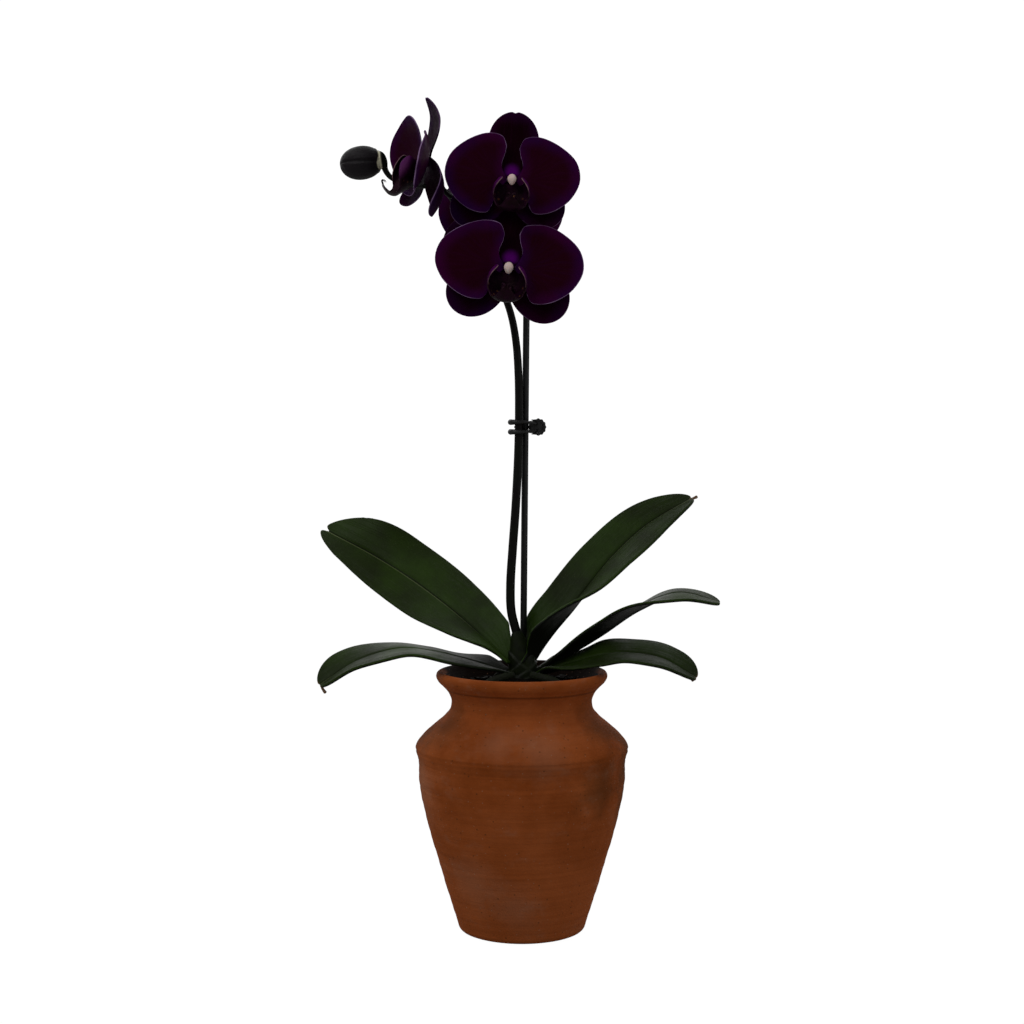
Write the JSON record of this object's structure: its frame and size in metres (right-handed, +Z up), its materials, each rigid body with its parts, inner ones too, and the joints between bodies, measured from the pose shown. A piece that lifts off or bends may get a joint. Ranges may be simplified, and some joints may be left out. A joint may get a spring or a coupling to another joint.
{
  "type": "potted moth orchid",
  "caption": "Moth orchid with dark purple flowers, a bud and arching leaves, staked and clipped, in a round-shouldered terracotta pot.",
  "frame": {"origin": "centre of the flat foot of the pot, on the surface that it stands on", "axes": "+Z up; -Y towards the viewer, where the two front flowers face; +X to the viewer's right"},
  "size_m": [0.2453, 0.1313, 0.4967],
  "materials": {
    "terracotta": "unglazed warm brown clay, matte, faint throwing rings and pale chalky marks",
    "bark_mix": "damp dark bark chips, rough",
    "leaf": "thick dark green leaf, satin, lighter midrib groove",
    "stem": "very dark green stem, satin",
    "root": "silvery grey-green root skin, matte",
    "petal": "near-black maroon purple, velvety, with pale violet rims",
    "lip": "near-black maroon, waxy, with orange-brown flecks",
    "anther_cap": "cream, waxy",
    "bud": "greyish black purple with lengthwise grooves",
    "stake": "black plastic-coated rod, satin",
    "clip": "black moulded plastic, semi-gloss",
    "spring_steel": "bright spring steel"
  },
  "bodies": {
    "orchid": {"terracotta_pot": "terracotta", "bark_mix": "bark_mix", "stem_base": "stem", "leaf_upper_left": "leaf", "leaf_upper_right": "leaf", "leaf_middle_right": "leaf", "leaf_lower_right": "leaf", "leaf_lower_left": "leaf", "aerial_root_1": "root", "aerial_root_2": "root", "aerial_root_3": "root", "flower_spike": "stem", "support_stake": "stake", "flower_low_dorsal_sepal": "petal", "flower_low_lateral_sepal_left": "petal", "flower_low_lateral_sepal_right": "petal", "flower_low_petal_left": "petal", "flower_low_petal_right": "petal", "flower_low_lip": "lip", "flower_low_column": "petal", "flower_low_anther_cap": "anther_cap", "flower_low_pedicel": "stem", "flower_high_dorsal_sepal": "petal", "flower_high_lateral_sepal_left": "petal", "flower_high_lateral_sepal_right": "petal", "flower_high_petal_left": "petal", "flower_high_petal_right": "petal", "flower_high_lip": "lip", "flower_high_column": "petal", "flower_high_anther_cap": "anther_cap", "flower_high_pedicel": "stem", "flower_side_dorsal_sepal": "petal", "flower_side_lateral_sepal_left": "petal", "flower_side_lateral_sepal_right": "petal", "flower_side_petal_left": "petal", "flower_side_petal_right": "petal", "flower_side_lip": "lip", "flower_side_column": "petal", "flower_side_anther_cap": "anther_cap", "flower_side_pedicel": "stem", "flower_back_dorsal_sepal": "petal", "flower_back_lateral_sepal_left": "petal", "flower_back_lateral_sepal_right": "petal", "flower_back_petal_left": "petal", "flower_back_petal_right": "petal", "flower_back_lip": "lip", "flower_back_column": "petal", "flower_back_anther_cap": "anther_cap", "flower_back_pedicel": "stem", "bud_pedicel": "stem", "flower_bud": "bud", "bract_1": "stem", "bract_2": "stem", "bract_3": "stem", "clip_front_jaw": "clip", "clip_hinge_pin": "spring_steel", "clip_spring": "spring_steel"},
    "clip_jaw": {"clip_rear_jaw": "clip"}
  },
  "joints": [
    {"name": "clip_hinge", "type": "hinge", "parent": "orchid", "child": "clip_jaw", "pos_m": [0.007, 0.002, 0.3027], "axis": [0, 0, -1], "range_deg": [0, 30], "stiffness_Nm_per_rad": 0.02, "springref_deg": -28.65, "deforming": ["clip_spring"]}
  ]
}
